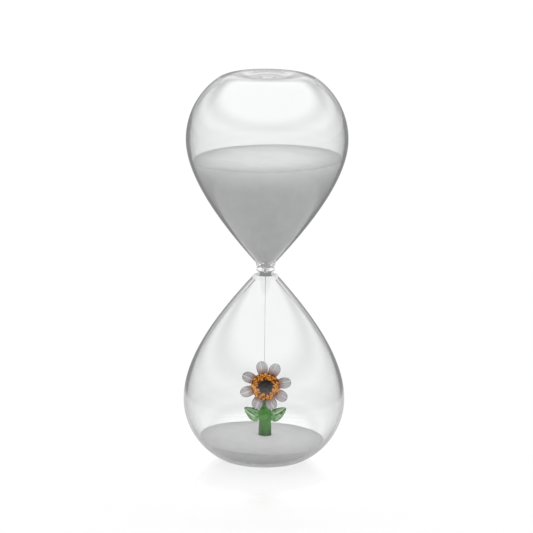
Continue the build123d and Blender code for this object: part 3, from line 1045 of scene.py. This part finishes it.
headLow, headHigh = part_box("amber_disc")
headCentre = (headLow + headHigh) / 2
petalLow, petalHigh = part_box("petal_1")
petalSpec = {
    "angles": (101, 61, 10, -32, -72, -114, -162, 152), "root": 2.9 * mm, "length": 9.9 * mm,
    "halfWidth": 3.15 * mm, "halfThickness": 0.52 * mm, "rootShare": 0.5, "tipShare": 1.18,
    "crease": 0.3 * mm, "creaseWidth": 0.16, "fold": 0.35 * mm, "bend": 0.35 * mm, "ridge": 0.07 * mm,
    "segments": 56, "bends": (0.3, -0.2, 0.1, 0.5, -0.1, 0.2, 0.4, 0.0), "sideShare": 0.5,
    "reach": (0.1, -0.1, 0.1, -0.2, -0.1, 0.0, 0.2, -0.1), "seedStep": 1.7,
}
petalStart = Vector((headCentre.x, (petalLow.y + petalHigh.y) / 2, headCentre.z))
for number, angle in enumerate(petalSpec["angles"], start=1):
    matrix = facing(petalStart, angle) @ Matrix.Translation((petalSpec["root"], 0.0, 0.0))
    placeBlade(f"petal{number}", {
        **petalSpec, "length": petalSpec["length"] + petalSpec["reach"][number - 1] * mm,
        "bend": petalSpec["bend"] + petalSpec["bends"][number - 1] * mm,
        "sideBend": petalSpec["bends"][-number] * petalSpec["sideShare"] * mm,
        "seed": number * petalSpec["seedStep"], "material": petalGlass,
    }, matrix, f"petal_{number}")

leafSpec = {
    "halfWidth": 4.3 * mm, "halfThickness": 0.5 * mm, "rootShare": 0.95, "tipShare": 0.42,
    "crease": 0.3 * mm, "creaseWidth": 0.12, "fold": 0.7 * mm, "bend": 0.4 * mm, "sideBend": 1.7 * mm,
    "ridge": 0.1 * mm, "segments": 56, "rootIn": 2.1 * mm, "rootHeight": 20.7 * mm, "turn": 21.0,
    "stretch": 1.1, "seed": 3.0,
}
for side, node in ((-1, "leaf_left"), (1, "leaf_right")):
    leafLow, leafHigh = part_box(node)
    reach = max(abs(leafLow.x - flowerX), abs(leafHigh.x - flowerX)) - leafSpec["rootIn"]
    start = Vector((flowerX + side * leafSpec["rootIn"], 0.0, leafSpec["rootHeight"]))
    angle = leafSpec["turn"] if side > 0 else 180 - leafSpec["turn"]
    placeBlade("leafRight" if side > 0 else "leafLeft", {
        **leafSpec, "length": reach * leafSpec["stretch"], "sideBend": side * leafSpec["sideBend"],
        "seed": leafSpec["seed"] + side, "material": leafGlass,
    }, facing(start, angle), node)


def stemSection():
    top = stemHigh.z
    run = [(0.0, footTop)]
    for share in np.linspace(0, 1, stemSpec["rows"]):
        radius = stemSpec["footRadius"] + (stemSpec["topRadius"] - stemSpec["footRadius"]) * share
        radius += stemSpec["waver"] * sin(share * stemSpec["wavers"]) - stemSpec["inset"]
        run.append((radius, footTop + (top - stemSpec["topRadius"] - footTop) * share))
    capCentre = (0.0, top - stemSpec["topRadius"])
    run += arcPoints(capCentre, run[-1][0], stemSpec["capStart"], 90, stemSpec["capRows"])
    return run


stemMesh = lathe(stemSection(), stemGlass, latheSpec["smallSegments"])
stemMesh.transform(Matrix.Translation((flowerX, 0.0, 0.0)))
placePiece("flowerStem", stemMesh, "flower_stem")


def headMatrix(level):
    # upright things laid over so that they point out of the flower head
    return Matrix(((1, 0, 0, headCentre.x), (0, 0, -1, level), (0, 1, 0, headCentre.z), (0, 0, 0, 1)))


def frontLathe(section, material, sharpAngle=35.0):
    mesh = lathe(section, material, latheSpec["smallSegments"], sharpAngle)
    mesh.transform(headMatrix(0))
    tidyNormals(mesh, 0.0, sharpAngle)
    return mesh


headRound = 0.6 * mm
discStep = 0.5 * mm
hubLow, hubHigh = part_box("flower_hub")
hubRadius = (hubHigh.x - hubLow.x) / 2
hubCentre = (hubRadius - headRound, -hubHigh.y + headRound)
hubSection = joinRuns([(0.0, -hubHigh.y)], arcPoints(hubCentre, headRound, -90, 0, pointSpec["round"]),
                      [(hubRadius, -hubLow.y), (0.0, -hubLow.y)])
placePiece("flowerHub", frontLathe(hubSection, petalGlass), "flower_hub")

discRadius = (headHigh.x - headLow.x) / 2
discCentre = (discRadius - headRound, -headLow.y - headRound)
discSection = joinRuns([(0.0, -headHigh.y), (discRadius - discStep, -headHigh.y)],
                       arcPoints(discCentre, headRound, 0, 90, pointSpec["round"]),
                       [(0.0, -headLow.y)])
placePiece("amberDisc", frontLathe(discSection, discGlass), "amber_disc")

coreLow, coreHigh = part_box("dark_core")
coreRadius = (coreHigh.x - coreLow.x) / 2


goldenAngle = 2.399963


# drops of glass set out like seeds in a flower head
def makeSeedTree():
    tree, graph, given = newGeometryTree("seedHead", {
        "Int": ["count", "seed"], "Float": ["inner", "outer", "size", "dome"], "Material": ["material"],
    })
    index = graph.node("GeometryNodeInputIndex") + 0.5
    inner = given["inner"]
    outer = given["outer"]
    share = index / given["count"]
    reach = (inner * inner + (outer * outer - inner * inner) * share) ** 0.5
    turn = index * goldenAngle
    domed = given["dome"] * (1.0 - (reach / outer) ** 2.0)
    scale = graph.node("FunctionNodeRandomValue", {"data_type": "FLOAT_VECTOR"}, {
        0: (0.6, 0.6, 0.6), 1: (1.5, 1.1, 1.2), "Seed": given["seed"],
    })
    turned = graph.node("FunctionNodeRandomValue", {"data_type": "FLOAT_VECTOR"}, {
        0: (-0.5, -0.5, -pi), 1: (0.5, 0.5, pi), "Seed": given["seed"],
    })
    sockets = {"Scale": scale, "Rotation": turned}
    scatter(graph, given, (reach, turn, domed), given["size"], sockets)
    return tree


seedTree = makeSeedTree()
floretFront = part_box("amber_florets")[1].y
floretSpec = {
    "count": 72, "size": 0.78 * mm, "seed": 11, "dome": 0.0, "innerGap": 0.45 * mm, "outerGap": 0.5 * mm,
}
coreSpec = {"shoulder": 0.5, "roundness": 0.6, "top": 0.75}
chipSpec = {
    "count": 34, "size": 0.74 * mm, "seed": 5, "dome": 0.6 * mm, "inner": 0.1 * mm, "outerGap": 0.3 * mm,
    "sunk": 0.4,
}


def seedMesh(values, level):
    mesh = runTree(seedTree, values)
    mesh.transform(headMatrix(level))
    tidyNormals(mesh)
    mesh.shade_flat()
    return mesh


floretMesh = seedMesh({
    **floretSpec, "inner": coreRadius + floretSpec["innerGap"], "outer": discRadius - floretSpec["outerGap"],
    "material": amberGlass,
}, floretFront)
placePiece("amberFlorets", floretMesh, "amber_florets")

coreBase = -coreHigh.y
coreDepth = coreHigh.y - coreLow.y
coreTop = coreBase + coreDepth * coreSpec["top"]
coreSection = joinRuns([(0.0, coreBase), (coreRadius, coreBase)], bezierPoints([
    (coreRadius, coreBase), (coreRadius, coreBase + coreDepth * coreSpec["shoulder"]),
    (coreRadius * coreSpec["roundness"], coreTop), (0.0, coreTop),
], pointSpec["funnel"]))
coreMesh = frontLathe(coreSection, darkGlass)
chipMesh = seedMesh({
    **chipSpec, "outer": coreRadius - chipSpec["outerGap"], "material": darkGlass,
}, coreHigh.y - coreDepth * chipSpec["sunk"])
work = bmesh.new()
work.from_mesh(coreMesh)
work.from_mesh(chipMesh)
work.to_mesh(coreMesh)
work.free()
placePiece("darkCore", coreMesh, "dark_core")
print("daisy set")


# stage
def makeWorld():
    # a bright tent overhead; its gleam in the glass has a clear lower edge
    spec = {
        "skyFrom": (0.16, 0.6), "sky": (0.35, 2.3), "gleamFrom": (0.5, 0.72), "gleam": (0.15, 1.75),
        "wallFrom": (0.144, 0.27), "wall": (0.5, 1.0), "wallEnd": (0.3, 0.5),
    }
    world = bpy.data.worlds.new("studio")
    scene.world = world
    world.use_nodes = True
    world.node_tree.nodes.clear()
    graph = Graph(world.node_tree)
    direction = graph.node("ShaderNodeTexCoord", output="Generated")
    up = graph.separate(direction, "Z")
    soft = graph.mapRange(up, spec["skyFrom"], spec["sky"], True)
    dome = graph.mapRange(up, spec["gleamFrom"], spec["gleam"], True)
    wall = graph.mapRange(up, spec["wallFrom"], spec["wall"])
    below = graph.mapRange(up, spec["wallEnd"], (1.0, 0.0), True)
    gleam = dome + (wall - spec["gleam"][0]) * below
    level = soft + (gleam - soft) * mirroredRays(graph)
    shader = graph.node("ShaderNodeBackground", {}, {"Color": (1.0, 1.0, 1.0, 1.0), "Strength": level})
    graph.node("ShaderNodeOutputWorld", {}, {"Surface": shader})


def makeStage():
    spec = {"half": 8.0, "drop": 0.02 * mm}
    half = spec["half"]
    corners = [(-half, -half, 0), (half, -half, 0), (half, half, 0), (-half, half, 0)]
    mesh = bpy.data.meshes.new("floor")
    mesh.from_pydata(corners, [], [(0, 1, 2, 3)])
    mesh.materials.append(makeFloor())
    floor = bpy.data.objects.new("floor", mesh)
    floor.location.z = -spec["drop"]
    scene.collection.objects.link(floor)


def makeCamera():
    spec = {
        "distance": 2.05, "elevation": 12.1, "lens": 279.7, "roll": 0.717, "aimX": 0.47 * mm,
        "aimUp": 0.8 * mm, "reach": 60.0,
    }
    data = bpy.data.cameras.new("camera")
    data.lens = spec["lens"]
    data.clip_end = spec["reach"]
    camera = bpy.data.objects.new("camera", data)
    aim = Vector((spec["aimX"], 0.0, cadHigh.z / 2 + spec["aimUp"]))
    tilt = radians(spec["elevation"])
    back = Vector((0.0, -cos(tilt), sin(tilt)))
    camera.location = aim + back * spec["distance"]
    camera.rotation_mode = "QUATERNION"
    turned = (-back).to_track_quat("-Z", "Y").to_matrix() @ Matrix.Rotation(radians(spec["roll"]), 3, "Z")
    camera.rotation_quaternion = turned.to_quaternion()
    scene.collection.objects.link(camera)
    scene.camera = camera


makeWorld()
makeStage()
makeCamera()
scene.view_settings.view_transform = "Standard"
scene.cycles.max_bounces = 48
scene.cycles.transmission_bounces = 40
scene.cycles.transparent_max_bounces = 48
scene.cycles.glossy_bounces = 32
print("stage set")
